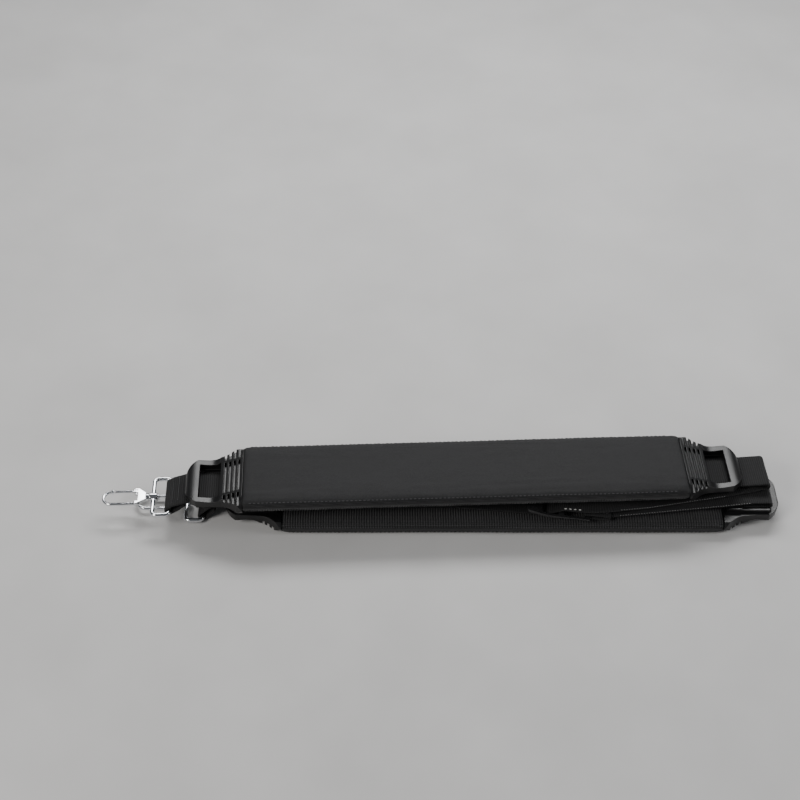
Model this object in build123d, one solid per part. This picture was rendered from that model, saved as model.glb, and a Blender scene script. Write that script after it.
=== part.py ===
from build123d import *
import math
import os

# A two-pad instrument strap, folded in half and lying on a table.
# X runs along the strap, +Y is the back edge, +Z is up, and the table is at Z = 0.
# The origin is the middle of the folded strap's footprint.

# Driving dimensions, millimetres
WEB_WIDTH = 30.0
WEB_THICK = 1.6
PAD_LENGTH = 330.0
PAD_WIDTH = 60.0
PAD_THICK = 12.0
COVER_WALL = 1.2
MESH_THICK = 1.0
BINDING_WIDTH = 1.0
BINDING_HEIGHT = 3.0
CAP_LENGTH = 43.6
CAP_WIDTH = 62.0
CAP_NECK_WIDTH = 44.0
CAP_HEIGHT = 12.4
CAP_NECK_HEIGHT = 7.4
RIM_HEIGHT = 4.5
SHOULDER_HEIGHT = 9.6
TONGUE_LENGTH = 11.0
TONGUE_HALF_WIDTH = 24.0
KEEPER_HALF_WIDTH = 19.0
KEEPER_WALL = 1.5
KEEPER_START = 3.0
KEEPER_END = 14.0
POST_WIDTH = 3.2
WINDOW_START = 17.0
WINDOW_LENGTH = 16.0
WINDOW_WIDTH = 33.0
RIB_COUNT = 4
RIB_START = 2.2
RIB_BAR = 1.1
RIB_PITCH = 3.5
RIB_GAP = 1.7
RIB_DEPTH = 3.2
WIRE_RADIUS = 1.75
HOOK_WIRE_RADIUS = 1.25
RING_SPAN = 12.7
RING_INNER_WIDTH = 33.0
RING_CORNER = 3.4
BOSS_RADIUS = 3.4
BOSS_LENGTH = 6.4
STEM_RADIUS = 1.3
STEM_CLEARANCE = 0.05
RIVET_RADIUS = 2.4
RIVET_HEIGHT = 1.4
HOOK_REACH = 31.2
HOOK_HALF_WIDTH = 6.2
SPINE_START = -10.0
SHOULDER_RADIUS = 3.2
SHOULDER_LENGTH = 2.4
KNOB_RADIUS = 1.75
KNOB_LENGTH = 2.2
YOKE_HALF_THICK = 1.9
CLEFT_HALF = 1.0
GATE_RADIUS = 1.1
GATE_PIVOT_X = -12.4
GATE_TIP_X = -29.4
PIN_RADIUS = 0.6
PIN_LENGTH = 3.8
EYE_RADIUS = 1.6
EYE_THICK = 1.7
ADJUSTER_LENGTH = 46.0
ADJUSTER_WIDTH = 36.4
ADJUSTER_SLOT_SIDE = 1.2
COLLAR_HALF_HEIGHT = 2.5

# Where the layers of the folded strap lie, as heights of their middles
LOWER_WEB_Z = 14.2
LOWER_RETURN_Z = 18.4
UPPER_RETURN_Z = 20.9
UPPER_WEB_Z = 26.2
UPPER_FOLD_TOP_Z = 27.2
UPPER_FOLD_BOTTOM_Z = 21.6
LOWER_FOLD_BOTTOM_Z = 18.9
OVER_BAR_Z = 22.8
TAIL_Z = 16.9
TAIL_END_Z = 17.2
COLLAR_Z = 17.9
WEB_GAP = 0.4

# Where the pieces lie along the strap
UPPER_PAD_X = -147.1
LOWER_PAD_X = -118.8
UPPER_RING_BAR = (-203.0, 16.5)
LOWER_RING_BAR = (-179.0, 4.0)
ADJUSTER_X = 66.0
UPPER_FOLD_X = 246.5
LOWER_FOLD_X = 248.0
TAIL_END_X = -6.0

# How steeply the webbing climbs from each ring to its pad, degrees turned to radians
UPPER_RISE = math.radians(32)
LOWER_RISE = math.radians(45)

# The layers don't lie quite in line: each stretch turns about a point on the table, in degrees
UPPER_TURN = ((0.0, 2.0), (0.0, 0.0), 2.2)
UPPER_RETURN_TURN = ((UPPER_FOLD_X, 11.4), (UPPER_FOLD_X, 0.0), 11.0)
LOWER_RETURN_TURN = ((LOWER_FOLD_X, 1.5), (LOWER_FOLD_X, 0.0), 6.6)
ADJUSTER_TURN = ((118.0, -13.5), (118.0, 0.0), -6.0)
FOOTPRINT_MIDDLE = (0.316, 2.687)

LOOP_RADIUS = WIRE_RADIUS + 0.3 + WEB_THICK / 2


def block(x, y, z):
    """A box from (low, high) pairs."""
    size = [high - low for low, high in (x, y, z)]
    middle = [(high + low) / 2 for low, high in (x, y, z)]
    return Pos(*middle) * Box(*size)


def turned(shape, turn):
    """Moves a straight-built shape's pivot point to its place on the table and turns it there."""
    place, pivot, angle = turn
    return Pos(*place, 0) * Rot(0, 0, angle) * Pos(-pivot[0], -pivot[1], 0) * shape


def bent_path(corners, radii):
    """Straight runs in the XZ plane joined by tangent arcs, one radius for each inner corner."""
    points = [Vector(x, 0, z) for x, z in corners]
    edges = []
    last = points[0]
    for before, corner, after, radius in zip(points, points[1:], points[2:], radii):
        back = (before - corner).normalized()
        ahead = (after - corner).normalized()
        half_turn = math.radians(180 - back.get_angle(ahead)) / 2
        if half_turn < 0.002:
            continue
        room = 0.48 * min((before - corner).length, (after - corner).length)
        reach = min(radius * math.tan(half_turn), room)
        radius = reach / math.tan(half_turn)
        inward = (back + ahead).normalized()
        middle = corner + inward * (radius / math.cos(half_turn) - radius)
        begin = corner + back * reach
        end = corner + ahead * reach
        edges.append(Line(last, begin))
        edges.append(ThreePointArc(begin, middle, end))
        last = end
    edges.append(Line(last, points[-1]))
    return Wire(edges)


def ribbon(corners, radii, width=WEB_WIDTH):
    """Flat webbing that follows corners in the XZ plane, with a bend radius at each one."""
    path = bent_path(corners, radii)
    start = Plane(origin=path @ 0, z_dir=path % 0, x_dir=(0, 1, 0))
    section = start * Rectangle(width, WEB_THICK)
    return sweep(section, path=path)


def loop_corners(bar, rise, tail):
    """Corners of a webbing loop round a bar, from its sewn end round to the long run."""
    x, z = bar
    across = (-math.sin(rise), math.cos(rise))
    along = (math.cos(rise), math.sin(rise))
    def at(run, side):
        return (x + run * along[0] + side * across[0], z + run * along[1] + side * across[1])
    return [
        at(tail, -LOOP_RADIUS * 0.62),
        at(LOOP_RADIUS * 1.7, -LOOP_RADIUS),
        at(-LOOP_RADIUS, -LOOP_RADIUS),
        at(-LOOP_RADIUS, LOOP_RADIUS),
        at(LOOP_RADIUS * 1.7, LOOP_RADIUS),
    ]


def upper_webbing():
    """The upper half's webbing: ring loop, pad and fold, then back to the adjuster and its tail."""
    z = UPPER_WEB_Z
    back = UPPER_RETURN_Z
    loop = loop_corners(UPPER_RING_BAR, UPPER_RISE, 13.0)
    top = UPPER_FOLD_TOP_Z
    low = UPPER_FOLD_BOTTOM_Z
    over = OVER_BAR_Z
    fold = UPPER_FOLD_X
    out = ribbon([*loop, (-186.5, z), (229, z), (fold, top), (fold, low), (232, low)],
                 [1.5, LOOP_RADIUS, LOOP_RADIUS, 2.0, 12, 40, 2.5, 2.5])
    middle = ribbon([(242, low), (226, low), (210, back), (150, back), (128, over), (114, over)],
                    [30, 30, 40, 40])
    under = [(79, TAIL_Z), (50, TAIL_Z), (TAIL_END_X, TAIL_END_Z)]
    tail = ribbon([(124, over), (92, over), *under], [4, 4, 30])
    return turned(out, UPPER_TURN) + turned(middle, UPPER_RETURN_TURN) + turned(tail, ADJUSTER_TURN)


def lower_webbing():
    """The lower half's webbing: ring loop, pad and fold, then back to the adjuster's collar."""
    z = LOWER_WEB_Z
    loop = loop_corners(LOWER_RING_BAR, LOWER_RISE, 12.0)
    low = LOWER_FOLD_BOTTOM_Z
    fold = LOWER_FOLD_X
    out = ribbon([*loop, (-172.5, z), (fold, z), (fold, low), (234, low)],
                 [1.5, LOOP_RADIUS, LOOP_RADIUS, 2.0, 8, 2.2, 2.2])
    to_collar = [(212, LOWER_RETURN_Z), (150, COLLAR_Z), (129, COLLAR_Z)]
    back = ribbon([(243, low), (230, low), *to_collar], [30, 40, 60])
    return out + turned(back, LOWER_RETURN_TURN)


def cap_outline(length):
    """The cap's outline from above: a flared grip, straight rails and a rounded nose."""
    half = CAP_WIDTH / 2
    neck = CAP_NECK_WIDTH / 2
    flare = Spline((0, half), (6, half - 4.2), (WINDOW_START, neck), tangents=((1, -0.35), (1, -0.05)))
    rail = Line((WINDOW_START, neck), (length - 9, neck - 1))
    nose = ThreePointArc((length - 9, neck - 1), (length - 2.2, neck * 0.62), (length, 0))
    side = [flare, rail, nose]
    other = [mirror(edge, about=Plane.XZ) for edge in side]
    back = Line((0, half), (0, -half))
    return make_face([*side, *other, back])


def cap():
    """An end cap with its mouth at X = 0, its nose at +X and the webbing side at Z = 0."""
    mouth = Polyline((CAP_LENGTH - 1.0, 0), (0, 0), (0, CAP_HEIGHT), (WINDOW_START, CAP_NECK_HEIGHT))
    dome = Spline((WINDOW_START, CAP_NECK_HEIGHT), (CAP_LENGTH - 11, 5.8), (CAP_LENGTH - 6, 5.9),
                  (CAP_LENGTH - 1.4, 4.0), (CAP_LENGTH, 1.4))
    lip = Line((CAP_LENGTH, 1.4), (CAP_LENGTH - 1.0, 0))
    profile = make_face(Plane.XZ * Wire([*mouth.edges(), dome, lip]))
    body = extrude(profile, CAP_WIDTH / 2, both=True) & extrude(cap_outline(CAP_LENGTH), CAP_HEIGHT)
    half = CAP_WIDTH / 2
    top = CAP_HEIGHT + 0.05
    rim = RIM_HEIGHT
    side = SHOULDER_HEIGHT
    shoulder = ThreePointArc((-half, rim), (-half + 3.2, side), (-half + 12, top))
    crown = Line(shoulder @ 1, (half - 12, top))
    other = ThreePointArc((half - 12, top), (half - 3.2, side), (half, rim))
    foot = Polyline((half, rim), (half - 2.5, 0), (-half + 2.5, 0), (-half, rim))
    section = make_face(Plane.YZ * Wire([shoulder, crown, other, *foot.edges()]))
    body &= extrude(section, CAP_LENGTH + 5, dir=(1, 0, 0))
    half_window = WINDOW_WIDTH / 2
    window_end = WINDOW_START + WINDOW_LENGTH
    body -= block((WINDOW_START, window_end), (-half_window, half_window), (-1, 20))
    inner = half_window - RIB_BAR
    outer = half_window + RIB_BAR
    rows = [(-40, -outer), (-inner, inner), (outer, 40)]
    for number in range(RIB_COUNT):
        x = RIB_START + number * RIB_PITCH
        top = CAP_HEIGHT - x * (CAP_HEIGHT - CAP_NECK_HEIGHT) / WINDOW_START
        for row in rows:
            body -= block((x, x + RIB_GAP), row, (top - RIB_DEPTH, 20))
    tongue = block((-TONGUE_LENGTH, 0.5), (-TONGUE_HALF_WIDTH, TONGUE_HALF_WIDTH), (4.0, 8.4))
    slot = WEB_THICK + 2 * WEB_GAP
    reach = KEEPER_HALF_WIDTH
    keeper = block((KEEPER_START, KEEPER_END), (-reach, reach), (-slot - KEEPER_WALL, -slot))
    post = block((KEEPER_START, window_end + 2), (reach - POST_WIDTH, reach), (-slot - 0.5, 0.5))
    return body + tongue + (keeper + mirror(post, about=Plane.XZ) + post)


def pad_cover():
    """The smooth outer cover, a tray that is open at both ends and on the mesh side."""
    outer = Pos(PAD_LENGTH / 2, 0, PAD_THICK / 2) * Box(PAD_LENGTH, PAD_WIDTH, PAD_THICK)
    long_top = outer.edges().filter_by(Axis.X).group_by(Axis.Z)[-1]
    outer = fillet(long_top, 4.0)
    half = PAD_WIDTH / 2 - COVER_WALL
    hollow = Pos(PAD_LENGTH / 2, 0, (PAD_THICK - COVER_WALL) / 2)
    hollow *= Box(PAD_LENGTH, 2 * half, PAD_THICK - COVER_WALL)
    hollow = fillet(hollow.edges().filter_by(Axis.X).group_by(Axis.Z)[-1], 3.0)
    return outer - hollow


def pad_core():
    """The foam inside the cover, stopping short of the caps' tongues."""
    half = PAD_WIDTH / 2 - COVER_WALL
    gap = TONGUE_LENGTH + 0.5
    core = block((gap, PAD_LENGTH - gap), (-half, half), (0, PAD_THICK - COVER_WALL))
    return fillet(core.edges().filter_by(Axis.X).group_by(Axis.Z)[-1], 3.0)


def pad_mesh():
    """The knitted lining that closes the cover and lies against the player."""
    half = PAD_WIDTH / 2
    return block((0.6, PAD_LENGTH - 0.6), (-half, half), (-MESH_THICK, 0))


def pad_binding():
    """The edge tape sewn along both long edges, where cover and lining meet."""
    half = PAD_WIDTH / 2
    height = (-MESH_THICK, BINDING_HEIGHT - MESH_THICK)
    tape = block((0.6, PAD_LENGTH - 0.6), (half, half + BINDING_WIDTH), height)
    return Compound([tape, mirror(tape, about=Plane.XZ)])


def pad_set():
    """One pad with its two caps, in a frame where it starts at X = 0 and its lining faces down."""
    far_cap = Pos(PAD_LENGTH, 0, -MESH_THICK) * cap()
    near_cap = mirror(Pos(0, 0, -MESH_THICK) * cap(), about=Plane.YZ)
    return {
        "cover": pad_cover(),
        "foam_core": pad_core(),
        "mesh_lining": pad_mesh(),
        "edge_binding": pad_binding(),
        "hook_end_cap": near_cap,
        "fold_end_cap": far_cap,
    }


def ring():
    """The rectangular loop and its swivel boss, with the webbing bar at the origin."""
    half = RING_INNER_WIDTH / 2 + WIRE_RADIUS
    path = (Pos(-RING_SPAN / 2, 0, 0) * RectangleRounded(RING_SPAN, 2 * half, RING_CORNER)).wire()
    section = Plane(origin=path @ 0, z_dir=path % 0) * Circle(WIRE_RADIUS)
    wire = sweep(section, path=path)
    along_x = Pos(-RING_SPAN, 0, 0) * Rot(0, 90, 0)
    boss = along_x * Cylinder(BOSS_RADIUS, BOSS_LENGTH)
    boss = chamfer(boss.edges(), 0.7)
    bore = along_x * Cylinder(STEM_RADIUS + STEM_CLEARANCE, BOSS_LENGTH + 2)
    return wire + boss - bore


def swivel_rivet():
    """The head that holds the hook's stem in the boss, inside the ring."""
    start = BOSS_LENGTH / 2 + 0.1
    middle = Pos(start + RIVET_HEIGHT / 2, 0, 0)
    head = middle * Rot(0, 90, 0) * Cylinder(RIVET_RADIUS, RIVET_HEIGHT)
    return chamfer(head.edges().group_by(Axis.X)[-1], 0.5)


def hook_frame():
    """The hook with its stem, shoulder and cleft, with the ring's boss centre at the origin."""
    half = HOOK_HALF_WIDTH
    turn = -HOOK_REACH
    tip = GATE_TIP_X - 0.5
    spine = Line((SPINE_START, -half), (turn, -half))
    bend = ThreePointArc((turn, -half), (turn - half, 0), (turn, half))
    nose = Line((turn, half), (tip, half))
    path = Wire([spine, bend, nose])
    section = Plane(origin=(SPINE_START, -half, 0), z_dir=(-1, 0, 0)) * Circle(HOOK_WIRE_RADIUS)
    body = sweep(section, path=path)
    knob = Pos(tip - KNOB_LENGTH / 2, half, 0) * Rot(0, 90, 0) * Cylinder(KNOB_RADIUS, KNOB_LENGTH)
    body += fillet(knob.edges(), 0.6)
    back = -BOSS_LENGTH / 2 - 0.1
    middle = Pos(back - SHOULDER_LENGTH / 2, 0, 0)
    shoulder = middle * Rot(0, 90, 0) * Cylinder(SHOULDER_RADIUS, SHOULDER_LENGTH)
    body += fillet(shoulder.edges(), 0.5)
    low = -half - HOOK_WIRE_RADIUS
    outline = Polyline((back - 1.6, 2.9), (-10.8, half + 1.9), (-14.2, half + 1.9), (-14.2, low),
                       (-12.4, low), (back - 1.6, -2.9), close=True)
    yoke = extrude(make_face(outline), YOKE_HALF_THICK, both=True)
    yoke = fillet(yoke.edges().filter_by(Axis.Z), 1.0)
    body += fillet(yoke.edges().group_by(Axis.Z)[-1] + yoke.edges().group_by(Axis.Z)[0], 0.5)
    body += Rot(0, 90, 0) * Cylinder(STEM_RADIUS, BOSS_LENGTH + 0.2)
    body -= block((-20, -9.6), (-half + 3.4, half + 4), (-CLEFT_HALF, CLEFT_HALF))
    body -= block((-20, -11.4), (-half + 1.6, half - 2.4), (-4, 4))
    body -= Pos(GATE_PIVOT_X, half, 0) * Cylinder(PIN_RADIUS, 12)
    return body


def gate():
    """The sprung gate that closes the hook, from its eye on the pin to its rounded tip."""
    half = HOOK_HALF_WIDTH
    start = GATE_PIVOT_X - 2.6
    bar = Rot(0, 90, 0) * Cylinder(GATE_RADIUS, start - GATE_TIP_X)
    bar = Pos((start + GATE_TIP_X) / 2, half, 0) * chamfer(bar.edges(), 0.3)
    eye = Pos(GATE_PIVOT_X, half, 0) * Cylinder(EYE_RADIUS, EYE_THICK)
    thick = (-EYE_THICK / 2, EYE_THICK / 2)
    neck = block((GATE_PIVOT_X - 3.4, GATE_PIVOT_X), (half - 0.9, half + 0.9), thick)
    hole = Pos(GATE_PIVOT_X, half, 0) * Cylinder(PIN_RADIUS + 0.04, 6)
    return bar + eye + neck - hole


def gate_pin():
    """The pin through the cleft and the gate's eye."""
    return Pos(GATE_PIVOT_X, HOOK_HALF_WIDTH, 0) * Cylinder(PIN_RADIUS, PIN_LENGTH)


def gate_spring():
    """The leaf that pushes the gate shut, seated in the cleft behind the gate's eye."""
    half = HOOK_HALF_WIDTH
    return block((-9.95, -9.6), (half - 3.4, half + 0.2), (-0.8, 0.8))


def adjuster_frame():
    """The moulded adjuster: two rails, three bars and a lifted nose, starting at X = 0."""
    half = ADJUSTER_WIDTH / 2
    inner = WEB_WIDTH / 2 + ADJUSTER_SLOT_SIDE
    arch = Spline((0, 25.0), (5, 23.3), (13, 20.9), (26, 19.4), (ADJUSTER_LENGTH, 18.4))
    lower = Spline((ADJUSTER_LENGTH, 16.9), (26, 17.9), (13, 18.6), (5, 20.8), (0, 22.6))
    rear = Line(arch @ 1, lower @ 0)
    nose = Line(lower @ 1, arch @ 0)
    side = make_face(Plane.XZ * Wire([arch, rear, lower, nose]))
    plate = extrude(side, half, both=True)
    plate -= block((11, 23), (-inner, inner), (0, 40))
    plate -= block((27, 42.8), (-inner, inner), (0, 40))
    return fillet(plate.edges().filter_by(Axis.Z), 1.0)


def adjuster_collar():
    """The sewn webbing sleeve that holds the adjuster's rear bar."""
    x = ADJUSTER_X + ADJUSTER_LENGTH - 1.6
    z = COLLAR_Z
    half = COLLAR_HALF_HEIGHT
    outer = block((x - 3.4, x + 16), (-WEB_WIDTH / 2, WEB_WIDTH / 2), (z - half, z + half))
    outer = fillet(outer.edges().filter_by(Axis.Y).group_by(Axis.X)[0], 2.2)
    inner = block((x - 1.9, x + 2.4), (-WEB_WIDTH, WEB_WIDTH), (z - 1.3, z + 1.3))
    return outer - inner


def place(shape):
    """Puts the footprint's middle at the origin."""
    return Pos(-FOOTPRINT_MIDDLE[0], -FOOTPRINT_MIDDLE[1], 0) * shape


def hook_set(bar):
    """The ring and the hook that swivels in it, with the ring's webbing bar at a given place."""
    at_bar = Pos(bar[0], 0, bar[1])
    at_boss = Pos(bar[0] - RING_SPAN, 0, bar[1])
    return {
        "ring": at_bar * ring(),
        "swivel_rivet": at_boss * swivel_rivet(),
        "hook_frame": at_boss * hook_frame(),
        "gate": at_boss * gate(),
        "gate_pin": at_boss * gate_pin(),
        "gate_spring": at_boss * gate_spring(),
    }


def main():
    os.makedirs("parts", exist_ok=True)
    shapes = {"upper_webbing": upper_webbing(), "lower_webbing": lower_webbing()}
    upper_bottom = UPPER_WEB_Z + WEB_THICK / 2 + WEB_GAP + MESH_THICK
    lower_top = LOWER_WEB_Z - WEB_THICK / 2 - WEB_GAP - MESH_THICK
    for name, shape in pad_set().items():
        shapes[f"upper_pad_{name}"] = turned(Pos(UPPER_PAD_X, 0, upper_bottom) * shape, UPPER_TURN)
        shapes[f"lower_pad_{name}"] = Pos(LOWER_PAD_X, 0, lower_top) * mirror(shape, about=Plane.XY)
    for name, shape in hook_set(UPPER_RING_BAR).items():
        shapes[f"upper_{name}"] = turned(shape, UPPER_TURN)
    for name, shape in hook_set(LOWER_RING_BAR).items():
        shapes[f"lower_{name}"] = shape
    shapes["adjuster_frame"] = turned(Pos(ADJUSTER_X, 0, 0) * adjuster_frame(), ADJUSTER_TURN)
    shapes["adjuster_collar"] = turned(adjuster_collar(), ADJUSTER_TURN)
    for name, shape in shapes.items():
        export_step(place(shape), f"parts/{name}.step")


main()
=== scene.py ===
import bpy
import math
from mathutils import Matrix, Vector, noise


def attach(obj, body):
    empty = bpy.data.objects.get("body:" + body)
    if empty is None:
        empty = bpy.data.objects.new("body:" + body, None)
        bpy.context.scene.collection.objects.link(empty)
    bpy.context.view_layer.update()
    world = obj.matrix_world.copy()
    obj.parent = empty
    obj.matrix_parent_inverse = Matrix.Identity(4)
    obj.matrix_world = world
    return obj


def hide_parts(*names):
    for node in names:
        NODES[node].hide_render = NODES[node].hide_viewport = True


# A two-pad instrument strap lying folded on a table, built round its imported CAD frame.
# Lengths are in metres. MM turns millimetres into metres.
MM = 0.001

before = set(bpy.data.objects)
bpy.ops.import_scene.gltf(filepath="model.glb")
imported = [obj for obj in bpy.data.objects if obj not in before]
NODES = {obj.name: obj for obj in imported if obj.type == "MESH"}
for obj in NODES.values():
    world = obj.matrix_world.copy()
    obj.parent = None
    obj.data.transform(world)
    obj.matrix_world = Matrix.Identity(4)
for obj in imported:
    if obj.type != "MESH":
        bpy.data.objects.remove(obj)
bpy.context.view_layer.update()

# Sizes and places that repeat the CAD model's, in millimetres and degrees
WEB_WIDTH = 30.0
WEB_THICK = 1.6
UPPER_WEB_Z = 26.2
LOWER_WEB_Z = 14.2
UPPER_RETURN_Z = 20.9
LOWER_RETURN_Z = 18.4
UPPER_FOLD_X = 246.5
UPPER_FOLD_TOP_Z = 27.2
UPPER_FOLD_BOTTOM_Z = 21.6
LOWER_FOLD_X = 248.0
LOWER_FOLD_BOTTOM_Z = 18.9
OVER_BAR_Z = 22.8
TAIL_Z = 16.9
TAIL_END = (-6.0, 17.2)
COLLAR_Z = 17.9
UPPER_RING_BAR = (-203.0, 16.5)
LOWER_RING_BAR = (-179.0, 4.0)
UPPER_RISE = math.radians(32)
LOWER_RISE = math.radians(45)
RING_WIRE_RADIUS = 1.75
LOOP_GAP = 0.3
LOOP_RADIUS = RING_WIRE_RADIUS + LOOP_GAP + WEB_THICK / 2
PAD_LENGTH = 330.0
PAD_WIDTH = 60.0
PAD_THICK = 12.0
UPPER_PAD_X = -147.1
LOWER_PAD_X = -118.8
PAD_GAP = 1.4
UPPER_PAD_Z = UPPER_WEB_Z + WEB_THICK / 2 + PAD_GAP
LOWER_PAD_Z = LOWER_WEB_Z - WEB_THICK / 2 - PAD_GAP
UPPER_TURN = ((0.0, 2.0), (0.0, 0.0), 2.2)
UPPER_RETURN_TURN = ((UPPER_FOLD_X, 11.4), (UPPER_FOLD_X, 0.0), 11.0)
LOWER_RETURN_TURN = ((LOWER_FOLD_X, 1.5), (LOWER_FOLD_X, 0.0), 6.6)
ADJUSTER_TURN = ((118.0, -13.5), (118.0, 0.0), -6.0)
STRAIGHT = ((0.0, 0.0), (0.0, 0.0), 0.0)
FOOTPRINT_MIDDLE = (0.316, 2.687)


# ---------------------------------------------------------------- helpers

def put(point, turn):
    """A straight-built point in millimetres, turned to its place, in metres."""
    place, pivot, angle = turn
    a = math.radians(angle)
    x = point[0] - pivot[0]
    y = point[1] - pivot[1]
    out_x = x * math.cos(a) - y * math.sin(a) + place[0] - FOOTPRINT_MIDDLE[0]
    out_y = x * math.sin(a) + y * math.cos(a) + place[1] - FOOTPRINT_MIDDLE[1]
    return Vector((out_x, out_y, point[2])) * MM


def add_object(name, vertices, faces, material, body, uvs=None):
    """A smooth-shaded mesh object that rides on a body and takes a material."""
    mesh = bpy.data.meshes.new(name)
    mesh.from_pydata([tuple(v) for v in vertices], [], faces)
    if uvs:
        layer = mesh.uv_layers.new(name="route")
        for loop in mesh.loops:
            layer.data[loop.index].uv = uvs[loop.vertex_index]
    mesh.polygons.foreach_set("use_smooth", [True] * len(mesh.polygons))
    mesh.materials.append(material)
    mesh.update()
    piece = bpy.data.objects.new(name, mesh)
    bpy.context.scene.collection.objects.link(piece)
    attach(piece, body)
    return piece


def tube_faces(rings, around):
    """Faces that join rings of points into a tube, with a cap at each end."""
    faces = []
    for i in range(rings - 1):
        for j in range(around):
            a = i * around + j
            b = i * around + (j + 1) % around
            faces.append((a, b, b + around, a + around))
    faces.append(tuple(reversed(range(around))))
    last = (rings - 1) * around
    faces.append(tuple(range(last, last + around)))
    return faces


# ---------------------------------------------------------------- materials

# The wave texture repeats once in this length when its scale is 1
WAVE_SCALE = 0.314159

def new_material(name, colour, roughness, metallic=0.0):
    material = bpy.data.materials.new(name)
    material.use_nodes = True
    shader = material.node_tree.nodes["Principled BSDF"]
    shader.inputs["Base Color"].default_value = (*colour, 1)
    shader.inputs["Roughness"].default_value = roughness
    shader.inputs["Metallic"].default_value = metallic
    return material, material.node_tree, shader


def node(tree, kind, **values):
    made = tree.nodes.new(kind)
    for key, value in values.items():
        if hasattr(made, key):
            setattr(made, key, value)
        else:
            made.inputs[key.replace("_", " ")].default_value = value
    return made


def coordinates(tree, scale, source="Object", turn=0.0):
    """Object or UV coordinates in metres, turned and scaled for a texture."""
    place = node(tree, "ShaderNodeTexCoord")
    mapping = node(tree, "ShaderNodeMapping")
    mapping.inputs["Scale"].default_value = scale
    mapping.inputs["Rotation"].default_value = (0, 0, turn)
    tree.links.new(place.outputs[source], mapping.inputs["Vector"])
    return mapping.outputs["Vector"]


def math_node(tree, operation, first, second):
    made = node(tree, "ShaderNodeMath", operation=operation)
    for number, value in enumerate((first, second)):
        if isinstance(value, (int, float)):
            made.inputs[number].default_value = value
        else:
            tree.links.new(value, made.inputs[number])
    return made.outputs[0]


def blend(tree, first, first_share, second, second_share):
    """The weighted sum of two values."""
    one = math_node(tree, "MULTIPLY", first, first_share)
    other = math_node(tree, "MULTIPLY", second, second_share)
    return math_node(tree, "ADD", one, other)


def noise_texture(tree, vector, scale, detail=3.0, rough=0.55):
    made = node(tree, "ShaderNodeTexNoise", Scale=scale, Detail=detail, Roughness=rough)
    tree.links.new(vector, made.inputs["Vector"])
    return made.outputs["Fac"]


def bands(tree, vector, pitch, direction):
    """Soft ribs across one direction, pitch metres apart."""
    made = node(tree, "ShaderNodeTexWave", wave_type="BANDS", bands_direction=direction)
    made.inputs["Scale"].default_value = WAVE_SCALE / pitch
    tree.links.new(vector, made.inputs["Vector"])
    return made.outputs["Fac"]


def ramp(tree, factor, low, high, low_colour, high_colour):
    made = node(tree, "ShaderNodeValToRGB")
    made.color_ramp.elements[0].position = low
    made.color_ramp.elements[1].position = high
    made.color_ramp.elements[0].color = (*low_colour, 1)
    made.color_ramp.elements[1].color = (*high_colour, 1)
    tree.links.new(factor, made.inputs["Fac"])
    return made.outputs["Color"]


def bump(tree, shader, height, distance, strength=1.0, after=None):
    made = node(tree, "ShaderNodeBump", Strength=strength, Distance=distance)
    tree.links.new(height, made.inputs["Height"])
    if after is not None:
        tree.links.new(after, made.inputs["Normal"])
    tree.links.new(made.outputs["Normal"], shader.inputs["Normal"])
    return made.outputs["Normal"]


def cover_material():
    """A fine plain weave with faint lengthways wrinkles and a soft sheen."""
    material, tree, shader = new_material("cover_weave", (0.03, 0.03, 0.032), 0.62)
    shader.inputs["Sheen Weight"].default_value = 0.07
    shader.inputs["Sheen Roughness"].default_value = 0.4
    shader.inputs["Specular IOR Level"].default_value = 0.24
    fine = coordinates(tree, (1, 1, 1))
    warp = bands(tree, fine, 0.00062, "X")
    weft = bands(tree, fine, 0.00062, "Y")
    weave = math_node(tree, "MAXIMUM", warp, weft)
    stretched = coordinates(tree, (55, 95, 95))
    wrinkle = noise_texture(tree, stretched, 1.3, 3.0)
    blotch = noise_texture(tree, fine, 24.0, 3.0)
    fleck = noise_texture(tree, fine, 1500.0, 2.0, 0.7)
    yarn = blend(tree, weave, 0.4, fleck, 0.6)
    shade = blend(tree, yarn, 0.72, blotch, 0.28)
    colour = ramp(tree, shade, 0.34, 0.68, (0.002, 0.002, 0.0022), (0.026, 0.026, 0.0275))
    tree.links.new(colour, shader.inputs["Base Color"])
    rough = math_node(tree, "ADD", math_node(tree, "MULTIPLY", blotch, 0.2), 0.5)
    tree.links.new(rough, shader.inputs["Roughness"])
    first = bump(tree, shader, wrinkle, 0.0006, 0.55)
    bump(tree, shader, yarn, 0.00022, 0.9, first)
    return material


def mesh_material():
    """A knitted lining: fine ribs across the pad with small open holes between them; its colour is
    painted shade in the grooves and holes and painted highlight on the rib crests.
    """
    material, tree, shader = new_material("knit_mesh", (0.045, 0.045, 0.047), 0.8)
    shader.inputs["Specular IOR Level"].default_value = 0.25
    shader.inputs["Sheen Weight"].default_value = 0.1
    plain = coordinates(tree, (1, 1, 1))
    ribs = bands(tree, plain, 0.0019, "X")
    loops = bands(tree, plain, 0.0012, "Y")
    raised_ribs = math_node(tree, "ADD", ribs, 0.25)
    raised_loops = math_node(tree, "ADD", loops, 0.35)
    knit = math_node(tree, "MULTIPLY", raised_ribs, raised_loops)
    # Painted shade in the knit's grooves and holes, painted highlight on its rib crests.
    colour = ramp(tree, knit, 0.08, 0.9, (0.0015, 0.0015, 0.0016), (0.055, 0.055, 0.057))
    tree.links.new(colour, shader.inputs["Base Color"])
    fuzz = noise_texture(tree, plain, 2600.0, 2.0)
    first = bump(tree, shader, fuzz, 0.0001, 0.5)
    bump(tree, shader, knit, 0.0005, 0.9, first)
    return material


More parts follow.
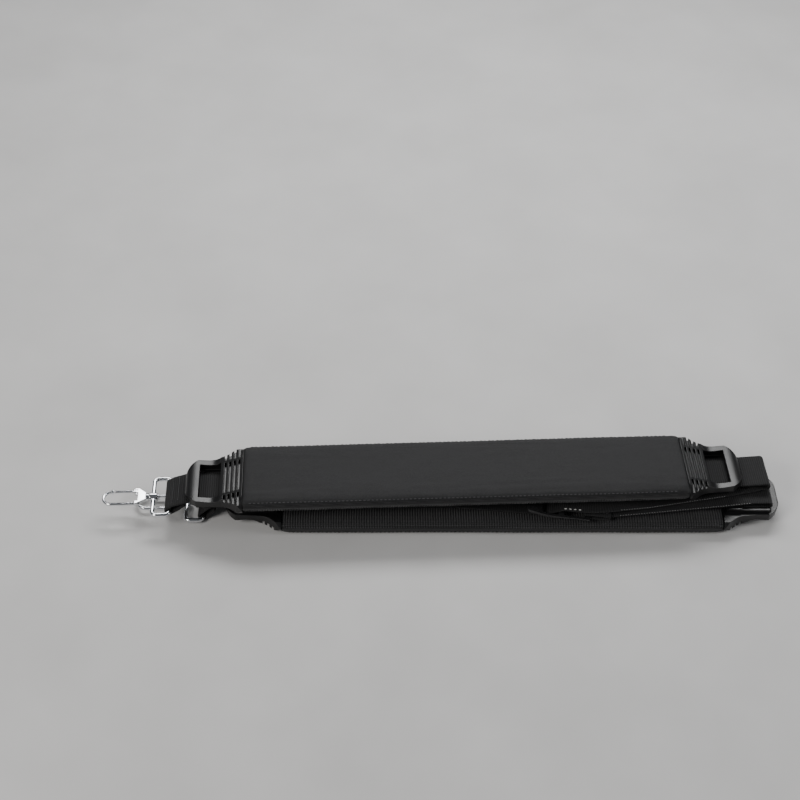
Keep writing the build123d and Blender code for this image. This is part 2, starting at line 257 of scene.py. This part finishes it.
def tape_material(name, dark, light):
    """A narrow ribbed tape for edges, with ribs across its run."""
    material, tree, shader = new_material(name, dark, 0.7)
    shader.inputs["Specular IOR Level"].default_value = 0.3
    shader.inputs["Sheen Weight"].default_value = 0.2
    plain = coordinates(tree, (1, 1, 1))
    ribs = bands(tree, plain, 0.0008, "X")
    tree.links.new(ramp(tree, ribs, 0.1, 0.95, dark, light), shader.inputs["Base Color"])
    bump(tree, shader, ribs, 0.00015, 0.8)
    return material


def webbing_material():
    """Matt webbing: cross ribs, a herringbone of yarns and tight selvedges."""
    material, tree, shader = new_material("webbing_weave", (0.02, 0.02, 0.021), 0.72)
    shader.inputs["Specular IOR Level"].default_value = 0.25
    shader.inputs["Sheen Weight"].default_value = 0.06
    route = coordinates(tree, (1, 1, 1), "UV")
    ribs = bands(tree, route, 0.00155, "X")
    yarns = bands(tree, route, 0.0011, "Y")
    weave = blend(tree, ribs, 0.65, yarns, 0.35)
    fuzz = noise_texture(tree, route, 900.0, 3.0)
    shade = blend(tree, weave, 0.75, fuzz, 0.25)
    colour = ramp(tree, shade, 0.2, 0.85, (0.003, 0.003, 0.0032), (0.022, 0.022, 0.023))
    tree.links.new(colour, shader.inputs["Base Color"])
    first = bump(tree, shader, fuzz, 0.0001, 0.4)
    bump(tree, shader, weave, 0.00032, 0.9, first)
    return material


def plastic_material(name, colour, low_rough, high_rough, edge):
    """Moulded plastic: fine spark-eroded grain, soft edges and a little handling wear."""
    material, tree, shader = new_material(name, colour, low_rough)
    shader.inputs["IOR"].default_value = 1.49
    plain = coordinates(tree, (1, 1, 1))
    patches = noise_texture(tree, plain, 55.0, 4.0)
    span = high_rough - low_rough
    rough = math_node(tree, "ADD", math_node(tree, "MULTIPLY", patches, span), low_rough)
    tree.links.new(rough, shader.inputs["Roughness"])
    lighter = tuple(c * 1.7 for c in colour)
    tree.links.new(ramp(tree, patches, 0.35, 0.75, colour, lighter), shader.inputs["Base Color"])
    rounded = node(tree, "ShaderNodeBevel", samples=6, Radius=edge)
    grain = noise_texture(tree, plain, 2400.0, 2.0)
    bump(tree, shader, grain, 0.00004, 0.25, rounded.outputs["Normal"])
    return material


def metal_material(name, colour, low_rough, high_rough):
    """Bright plated metal with faint handling haze and softened edges."""
    material, tree, shader = new_material(name, colour, low_rough, 1.0)
    plain = coordinates(tree, (1, 1, 1))
    haze = noise_texture(tree, plain, 160.0, 4.0)
    span = high_rough - low_rough
    rough = math_node(tree, "ADD", math_node(tree, "MULTIPLY", haze, span), low_rough)
    tree.links.new(rough, shader.inputs["Roughness"])
    darker = tuple(c * 0.9 for c in colour)
    tree.links.new(ramp(tree, haze, 0.3, 0.8, darker, colour), shader.inputs["Base Color"])
    rounded = node(tree, "ShaderNodeBevel", samples=6, Radius=0.0004)
    ripple = noise_texture(tree, plain, 420.0, 2.0)
    bump(tree, shader, ripple, 0.00003, 0.15, rounded.outputs["Normal"])
    return material


def thread_material(name, dark, light):
    material, tree, shader = new_material(name, dark, 0.6)
    plain = coordinates(tree, (1, 1, 1), turn=0.7)
    twist = bands(tree, plain, 0.0005, "X")
    tree.links.new(ramp(tree, twist, 0.1, 0.9, dark, light), shader.inputs["Base Color"])
    bump(tree, shader, twist, 0.00008, 0.7)
    return material


COVER = cover_material()
KNIT = mesh_material()
TAPE = tape_material("edge_tape", (0.006, 0.006, 0.0065), (0.02, 0.02, 0.021))
WEB = webbing_material()
CAP = plastic_material("cap_moulding", (0.005, 0.005, 0.0053), 0.27, 0.42, 0.0006)
GLOSS = plastic_material("gloss_moulding", (0.012, 0.012, 0.0125), 0.14, 0.26, 0.0005)
CHROME = metal_material("bright_plate", (0.78, 0.79, 0.81), 0.04, 0.14)
STEEL = metal_material("plain_steel", (0.55, 0.55, 0.56), 0.25, 0.4)
THREAD = thread_material("dark_thread", (0.02, 0.02, 0.021), (0.075, 0.075, 0.08))
# The pale and white thread copies are painted highlights and painted glints; the dark thread is the
# real thread colour.
PAINTED_HIGHLIGHT_PALE = thread_material("painted_highlight_pale", (0.12, 0.12, 0.12), (0.3, 0.3, 0.3))
PAINTED_GLINT_WHITE = thread_material("painted_glint_white", (0.6, 0.6, 0.58), (0.85, 0.85, 0.82))

CAD_MATERIALS = {
    "cap": CAP, "ring": CHROME, "hook_frame": CHROME, "gate": CHROME, "swivel_rivet": CHROME,
    "gate_pin": STEEL, "gate_spring": STEEL, "adjuster_frame": GLOSS,
}


def dress_cad_nodes():
    """Gives each CAD piece that no modelled piece replaces its finished material."""
    for name, piece in NODES.items():
        for ending, material in CAD_MATERIALS.items():
            if name.endswith(ending):
                piece.data.materials.clear()
                piece.data.materials.append(material)


# ---------------------------------------------------------------- pads

PAD_ROWS = 221
COVER_AROUND = 60
END_ROUND = 7.0
SEAM_HEIGHT = 5.0
MESH_THICK = 1.0
COVER_FULLNESS = 0.42
LINING_FULLNESS = 0.36
RIB_PITCH = 1.9
RIB_SWELL = 0.14
LINING_ROWS = 901
PUCKER = 0.2
CREASE = 0.3
FINE_CREASE = 0.1
BINDING_ROWS = 260
BINDING_AROUND = 14
BINDING_INSET = 0.7
STITCH_ANGLE = 0.42
STITCH_PITCH = 3.1
STITCH_MARGIN = 6


def end_factor(x):
    """0 at a pad's end, rising to 1 where the end's rounding stops."""
    near = min(x, PAD_LENGTH - x)
    if near >= END_ROUND:
        return 1.0
    return math.sqrt(max(0.0, 1 - (1 - near / END_ROUND) ** 2))


def crown(x, angle, seed, height, fullness):
    """A point of half a pillow section: x along the pad, angle from one seam to the other."""
    c = math.cos(angle)
    s = math.sin(angle)
    full = end_factor(x)
    width = PAD_WIDTH / 2 * (0.965 + 0.035 * full)
    width += 0.5 * noise.noise(Vector((x * 0.013, seed, 2.0)))
    top = height * (0.78 + 0.22 * full) + 0.3 * noise.noise(Vector((x * 0.016, 0, seed)))
    y = -width * math.copysign(abs(c) ** fullness, c)
    z = top * abs(s) ** (fullness * 1.15)
    edge = (PAD_WIDTH / 2 - abs(y)) + z * 0.5
    drift = 2.2 * noise.noise(Vector((x * 0.05, seed, 0)))
    pucker = PUCKER * math.sin(x * 0.95 + drift) * math.exp(-abs(edge - 3.0) / 2.5)
    crease = CREASE * noise.noise(Vector((x * 0.018, y * 0.22, seed + 5)))
    crease += FINE_CREASE * noise.noise(Vector((x * 0.05, y * 0.8, seed)))
    swell = (pucker + crease - PUCKER) * full
    return (x, y + c * -0.3 * swell, max(0.0, z + s * swell))


def cover_point(x, angle, seed):
    """A point of the smooth cover, measured up from the seam."""
    return crown(x, angle, seed, PAD_THICK - SEAM_HEIGHT, COVER_FULLNESS)


def lining_point(x, angle, seed):
    """A point of the knitted lining, measured down from the seam, with its ribs."""
    px, py, pz = crown(x, angle, seed, SEAM_HEIGHT + MESH_THICK - 0.2, LINING_FULLNESS)
    rib = RIB_SWELL * math.sin(x * 2 * math.pi / RIB_PITCH)
    side = py - math.cos(angle) * rib * 0.6
    return (px, side, max(0.0, pz + math.sin(angle) * (rib - RIB_SWELL)))


def half_pad(name, rows, point, place_x, base_z, up, turn, seed, material, body):
    """One closed half of a pad, from its seam plane out to its crowned face."""
    vertices = []
    around = COVER_AROUND + 1
    for i in range(rows):
        x = PAD_LENGTH * i / (rows - 1)
        for j in range(around):
            px, py, pz = point(x, math.pi * j / COVER_AROUND, seed)
            vertices.append(put((place_x + px, py, base_z + up * pz), turn))
    faces = tube_faces(rows, around)
    if up < 0:
        faces = [tuple(reversed(face)) for face in faces]
    return add_object(name, vertices, faces, material, body)


def pad_object(half, place_x, base_z, up, turn, seed):
    """The smooth cover of one pad, crowned away from its seam."""
    seam_z = base_z + up * SEAM_HEIGHT
    piece = half_pad(f"{half}_cover", PAD_ROWS, cover_point, place_x, seam_z, up, turn, seed,
                     COVER, f"{half}_pad")
    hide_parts(f"{half}_pad_cover", f"{half}_pad_foam_core")


def lining_object(half, place_x, base_z, up, turn, seed):
    """The knitted lining of one pad, which wraps round its sides up to the seam."""
    seam_z = base_z + up * SEAM_HEIGHT
    piece = half_pad(f"{half}_lining", LINING_ROWS, lining_point, place_x, seam_z, -up, turn, seed,
                     KNIT, f"{half}_pad")
    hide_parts(f"{half}_pad_mesh_lining")


def squared(value):
    """A sine or cosine pushed out towards a rounded square."""
    return math.copysign(abs(value) ** 0.7, value)


def binding_object(half, place_x, base_z, up, turn, seed):
    """Folded edge tape over the seam along both long edges."""
    vertices = []
    faces = []
    rows = BINDING_ROWS
    around = BINDING_AROUND
    for side in (-1, 1):
        start = len(vertices)
        for i in range(rows):
            x = BINDING_INSET + (PAD_LENGTH - 2 * BINDING_INSET) * i / (rows - 1)
            wobble = 0.12 * noise.noise(Vector((x * 0.12, side, seed)))
            for j in range(around):
                a = 2 * math.pi * j / around
                y = PAD_WIDTH / 2 - 0.75 + 1.05 * squared(math.cos(a)) + wobble
                z = SEAM_HEIGHT + 1.5 * squared(math.sin(a))
                vertices.append(put((place_x + x, side * y, base_z + up * z), turn))
        part = tube_faces(rows, around)
        if side * up > 0:
            part = [tuple(reversed(face)) for face in part]
        faces += [tuple(v + start for v in face) for face in part]
    piece = add_object(f"{half}_binding", vertices, faces, TAPE, f"{half}_pad")
    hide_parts(f"{half}_pad_edge_binding")


def stitch_mesh(places, length, radius):
    """Small rounded stitches: each place is a middle and a direction, in metres."""
    vertices = []
    faces = []
    around = 6
    shape = [(-0.5, 0.25), (-0.36, 0.85), (0.0, 1.0), (0.36, 0.85), (0.5, 0.25)]
    for middle, direction in places:
        start = len(vertices)
        turn = direction.to_track_quat("X", "Z").to_matrix()
        for along, size in shape:
            for j in range(around):
                a = 2 * math.pi * j / around
                reach = radius * size
                local = Vector((along * length, math.cos(a) * reach, math.sin(a) * reach))
                vertices.append(middle + turn @ local)
        faces += [tuple(v + start for v in face) for face in tube_faces(len(shape), around)]
    return vertices, faces


def pad_stitches(half, place_x, base_z, up, turn, seed):
    """The row of stitches that runs along each long edge of the smooth side."""
    places = []
    seam_z = base_z + up * SEAM_HEIGHT
    count = int((PAD_LENGTH - 2 * STITCH_MARGIN) / STITCH_PITCH)
    for angle in (STITCH_ANGLE, math.pi - STITCH_ANGLE):
        for number in range(count):
            x = STITCH_MARGIN + STITCH_PITCH * number
            first = cover_point(x - 0.8, angle, seed)
            second = cover_point(x + 0.8, angle, seed)
            a = put((place_x + first[0], first[1], seam_z + up * first[2]), turn)
            b = put((place_x + second[0], second[1], seam_z + up * second[2]), turn)
            places.append(((a + b) / 2, (b - a).normalized()))
    vertices, faces = stitch_mesh(places, 1.9 * MM, 0.3 * MM)
    add_object(f"{half}_edge_stitches", vertices, faces, THREAD, f"{half}_pad")


def build_pads():
    halves = (("upper", UPPER_PAD_X, UPPER_PAD_Z, 1, UPPER_TURN, 3.0),
              ("lower", LOWER_PAD_X, LOWER_PAD_Z, -1, STRAIGHT, 11.0))
    for half, place_x, base_z, up, turn, seed in halves:
        pad_object(half, place_x, base_z, up, turn, seed)
        lining_object(half, place_x, base_z, up, turn, seed)
        binding_object(half, place_x, base_z, up, turn, seed)
        pad_stitches(half, place_x, base_z, up, turn, seed)


# ---------------------------------------------------------------- webbing

def bent_route(corners, radii, step=1.0):
    """Points along straight runs and tangent arcs in the XZ plane, about a step apart."""
    points = [Vector((x, z)) for x, z in corners]
    route = [points[0]]

    def run_to(end):
        start = route[-1]
        count = max(1, int((end - start).length / step))
        for number in range(1, count + 1):
            route.append(start.lerp(end, number / count))

    for before, corner, after, radius in zip(points, points[1:], points[2:], radii):
        back = (before - corner).normalized()
        ahead = (after - corner).normalized()
        half_turn = (math.pi - back.angle(ahead)) / 2
        if half_turn < 0.002:
            continue
        room = 0.48 * min((before - corner).length, (after - corner).length)
        reach = min(radius * math.tan(half_turn), room)
        radius = reach / math.tan(half_turn)
        middle = corner + (back + ahead).normalized() * radius / math.cos(half_turn)
        run_to(corner + back * reach)
        start = route[-1] - middle
        end = corner + ahead * reach - middle
        turn = start.angle_signed(end)
        count = max(4, int(radius * abs(turn) / 0.5))
        for number in range(1, count + 1):
            a = -turn * number / count
            spun_x = start.x * math.cos(a) - start.y * math.sin(a)
            spun_z = start.x * math.sin(a) + start.y * math.cos(a)
            route.append(middle + Vector((spun_x, spun_z)))
    run_to(points[-1])
    return route


def loop_corners(bar, rise, tail):
    """Corners of a webbing loop round a ring's bar, from its sewn end round to the long run."""
    x, z = bar
    along = (math.cos(rise), math.sin(rise))

    def at(run, side):
        return (x + run * along[0] - side * along[1], z + run * along[1] + side * along[0])

    reach = LOOP_RADIUS
    return [
        at(tail, -reach * 0.62),
        at(reach * 1.7, -reach),
        at(-reach, -reach),
        at(-reach, reach),
        at(reach * 1.7, reach),
    ]


def webbing_section():
    """Half-width and half-thickness pairs round the webbing: flat faces and rounded selvedges."""
    half = WEB_WIDTH / 2
    thick = WEB_THICK / 2 - 0.03
    across = 12
    section = []
    for side in (1, -1):
        for number in range(across + 1):
            share = number / across * 2 - 1
            height = thick * (0.97 if abs(share) < 0.86 else 1.0)
            section.append((side * (half - 0.9) * share, side * height))
        for degrees in (50, 15, -15, -50):
            a = math.radians(degrees)
            out = half - 0.8 + 0.8 * math.cos(a)
            section.append((side * out, side * thick * math.sin(a)))
    return section


def ribbon_mesh(legs):
    """Webbing along straight-built legs, each with its own turn, joined end to end."""
    stations = []
    for route, turn in legs:
        for number, point in enumerate(route):
            before = route[max(0, number - 1)]
            after = route[min(len(route) - 1, number + 1)]
            run = (after - before).normalized()
            stations.append((point, Vector((-run.y, run.x)), turn))
    section = webbing_section()
    vertices = []
    uvs = []
    travelled = 0.0
    last = None
    for point, normal, turn in stations:
        middle = put((point.x, 0, point.y), turn)
        if last is not None:
            travelled += (middle - last).length
        last = middle
        for y, up in section:
            vertices.append(put((point.x + normal.x * up, y, point.y + normal.y * up), turn))
            uvs.append((travelled, (y + up) * MM))
    return vertices, tube_faces(len(stations), len(section)), uvs


JOIN_POINTS = 5


def eased(legs):
    """Drops the ends where legs meet, so that the webbing turns between them without a fold."""
    trimmed = []
    for number, (route, turn) in enumerate(legs):
        start = 0 if number == 0 else JOIN_POINTS
        end = len(route) if number == len(legs) - 1 else len(route) - JOIN_POINTS
        trimmed.append((route[start:end], turn))
    return trimmed


def upper_legs():
    z = UPPER_WEB_Z
    back = UPPER_RETURN_Z
    loop = loop_corners(UPPER_RING_BAR, UPPER_RISE, 13.0)
    top = UPPER_FOLD_TOP_Z
    low = UPPER_FOLD_BOTTOM_Z
    over = OVER_BAR_Z
    fold = UPPER_FOLD_X
    out = bent_route([*loop, (-186.5, z), (229, z), (fold, top), (fold, low), (236, low)],
                     [1.5, LOOP_RADIUS, LOOP_RADIUS, 2.0, 12, 40, 2.5, 2.5])
    to_bar = [(210, back), (150, back), (128, over), (119, over)]
    middle = bent_route([(238, low), (226, low), *to_bar], [30, 30, 40, 40])
    tail = bent_route([(119, over), (92, over), (79, TAIL_Z), (50, TAIL_Z), TAIL_END], [6, 6, 30])
    return eased([(out, UPPER_TURN), (middle, UPPER_RETURN_TURN), (tail, ADJUSTER_TURN)])


def lower_legs():
    z = LOWER_WEB_Z
    loop = loop_corners(LOWER_RING_BAR, LOWER_RISE, 12.0)
    low = LOWER_FOLD_BOTTOM_Z
    fold = LOWER_FOLD_X
    out = bent_route([*loop, (-172.5, z), (fold, z), (fold, low), (238, low)],
                     [1.5, LOOP_RADIUS, LOOP_RADIUS, 2.0, 8, 2.2, 2.2])
    to_collar = [(212, LOWER_RETURN_Z), (150, COLLAR_Z), (119, COLLAR_Z)]
    back = bent_route([(238, low), (230, low), *to_collar], [30, 40, 60])
    return eased([(out, STRAIGHT), (back, LOWER_RETURN_TURN)])


def build_webbing():
    for name, legs in (("upper", upper_legs()), ("lower", lower_legs())):
        vertices, faces, uvs = ribbon_mesh(legs)
        piece = add_object(f"{name}_strap_webbing", vertices, faces, WEB, "webbing", uvs)
        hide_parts(f"{name}_webbing")


def build_collar():
    """The sewn sleeve round the adjuster's rear bar, over and under the lower webbing's end."""
    low = COLLAR_Z - 1.65
    high = COLLAR_Z + 1.65
    end = 127.4
    bar = 107.7
    corners = [(end, low), (113, low), (bar, low), (bar, high), (113, high), (end, high)]
    route = bent_route(corners, [8, 1.6, 1.6, 8])
    vertices, faces, uvs = ribbon_mesh([(route, ADJUSTER_TURN)])
    piece = add_object("sewn_collar", vertices, faces, WEB, "webbing", uvs)
    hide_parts("adjuster_collar")


def stitch_row(first, last, pitch, turn):
    """Middles and directions of stitches along a straight line of straight-built points."""
    start = Vector(first)
    end = Vector(last)
    count = max(1, int((end - start).length / pitch))
    places = []
    for number in range(count):
        a = put(start.lerp(end, (number + 0.2) / count), turn)
        b = put(start.lerp(end, (number + 0.8) / count), turn)
        places.append(((a + b) / 2, (b - a).normalized()))
    return places


def box_stitch(x_low, x_high, z, slope, turn):
    """A sewn box with a cross in it, on webbing that rises by slope from its low end."""
    y = WEB_WIDTH / 2 - 3.2
    low = [(x_low, -y, z), (x_low, y, z)]
    top = z + (x_high - x_low) * slope
    high = [(x_high, -y, top), (x_high, y, top)]
    ends = ((low[0], low[1]), (high[0], high[1]))
    sides = ((low[0], high[0]), (low[1], high[1]))
    cross = ((low[0], high[1]), (low[1], high[0]))
    lines = (*ends, *sides, *cross)
    places = []
    for first, last in lines:
        places += stitch_row(first, last, 2.2, turn)
    return places


def build_sewing():
    """Box stitches where each webbing is sewn, pale dots along the front selvedges that are painted
    highlights, and four white dots beside the adjuster that are painted glints.
    """
    dark = box_stitch(113.6, 125.6, 20.36, 0.0, ADJUSTER_TURN)
    loops = ((UPPER_RING_BAR, UPPER_RISE, UPPER_TURN), (LOWER_RING_BAR, LOWER_RISE, STRAIGHT))
    for bar, rise, turn in loops:
        off = LOOP_RADIUS + WEB_THICK / 2
        run = 5.2
        x = bar[0] + run * math.cos(rise) - off * math.sin(rise)
        z = bar[1] + run * math.sin(rise) + off * math.cos(rise)
        reach = 5.5 * math.cos(rise)
        dark += stitch_row((x, -12, z), (x, 12, z), 2.0, turn)
        climb = reach * math.tan(rise)
        dark += stitch_row((x + reach, -12, z + climb), (x + reach, 12, z + climb), 2.0, turn)
    vertices, faces = stitch_mesh(dark, 1.7 * MM, 0.28 * MM)
    add_object("webbing_stitches", vertices, faces, THREAD, "webbing")
    # Pale stitch-shaped dots along the front selvedge of the return runs: painted highlights.
    edge = -WEB_WIDTH / 2 + 0.25
    runs = (
        ((130, COLLAR_Z), (150, COLLAR_Z), LOWER_RETURN_TURN),
        ((150, COLLAR_Z), (212, LOWER_RETURN_Z), LOWER_RETURN_TURN),
        ((212, LOWER_RETURN_Z), (230, LOWER_FOLD_BOTTOM_Z), LOWER_RETURN_TURN),
        ((150, UPPER_RETURN_Z), (210, UPPER_RETURN_Z), UPPER_RETURN_TURN),
        ((128, OVER_BAR_Z), (150, UPPER_RETURN_Z), UPPER_RETURN_TURN),
    )
    rise = 0.72
    selvedge = []
    for low, high, turn in runs:
        first = (low[0], edge, low[1] + rise)
        last = (high[0], edge, high[1] + rise)
        selvedge += stitch_row(first, last, 1.9, turn)
    vertices, faces = stitch_mesh(selvedge, 1.1 * MM, 0.24 * MM)
    add_object("selvedge_painted_highlights", vertices, faces, PAINTED_HIGHLIGHT_PALE, "webbing")
    # Four white stitch-shaped dots beside the adjuster: painted glints, not thread.
    white = stitch_row((92, -13.6, 23.62), (106, -13.6, 23.62), 3.4, ADJUSTER_TURN)
    vertices, faces = stitch_mesh(white, 1.9 * MM, 0.36 * MM)
    add_object("painted_glint_dots", vertices, faces, PAINTED_GLINT_WHITE, "webbing")


# ---------------------------------------------------------------- stage, light and camera

def build_stage():
    size = 3.0
    vertices = [(-size, -size, 0), (size, -size, 0), (size, size, 0), (-size, size, 0)]
    mesh = bpy.data.meshes.new("floor")
    mesh.from_pydata(vertices, [], [(0, 1, 2, 3)])
    material, tree, shader = new_material("floor_paper", (0.62, 0.61, 0.6), 0.8)
    plain = coordinates(tree, (1, 1, 1))
    mottle = noise_texture(tree, plain, 9.0, 3.0)
    paper = ramp(tree, mottle, 0.2, 0.8, (0.56, 0.555, 0.55), (0.66, 0.655, 0.65))
    tree.links.new(paper, shader.inputs["Base Color"])
    mesh.materials.append(material)
    floor = bpy.data.objects.new("floor", mesh)
    bpy.context.scene.collection.objects.link(floor)


def aim(thing, target):
    thing.rotation_euler = (Vector(target) - thing.location).to_track_quat("-Z", "Y").to_euler()


def area_light(name, place, target, size, power, colour=(1, 1, 1)):
    light = bpy.data.lights.new(name, "AREA")
    light.shape = "RECTANGLE"
    light.size = size[0]
    light.size_y = size[1]
    light.energy = power
    light.color = colour
    lamp = bpy.data.objects.new(name, light)
    lamp.location = place
    bpy.context.scene.collection.objects.link(lamp)
    aim(lamp, target)


def build_lights():
    area_light("top_back_softbox", (0.1, 0.75, 0.95), (0, 0, 0), (1.1, 0.35), 13)
    area_light("left_front_softbox", (-0.9, -0.7, 0.9), (0, 0, 0), (0.5, 0.5), 9, (1.0, 0.98, 0.95))
    area_light("right_strip", (1.1, -0.2, 0.6), (0, 0, 0), (0.25, 0.9), 4)
    world = bpy.data.worlds.new("studio")
    world.use_nodes = True
    background = world.node_tree.nodes["Background"]
    background.inputs["Color"].default_value = (0.8, 0.82, 0.85, 1)
    background.inputs["Strength"].default_value = 0.16
    bpy.context.scene.world = world


CAMERA_ELEVATION = math.radians(44)
CAMERA_DISTANCE = 1.24
CAMERA_LENS = 70.0
CAMERA_TARGET = (-0.0305, 0.0925, 0.02)


def build_camera():
    data = bpy.data.cameras.new("camera")
    data.lens = CAMERA_LENS
    data.sensor_width = 36
    camera = bpy.data.objects.new("camera", data)
    away = CAMERA_DISTANCE * math.cos(CAMERA_ELEVATION)
    height = CAMERA_DISTANCE * math.sin(CAMERA_ELEVATION)
    camera.location = Vector(CAMERA_TARGET) + Vector((0, -away, height))
    bpy.context.scene.collection.objects.link(camera)
    aim(camera, CAMERA_TARGET)
    bpy.context.scene.camera = camera


build_camera()
dress_cad_nodes()
build_pads()
build_webbing()
build_collar()
build_sewing()
build_stage()
build_lights()
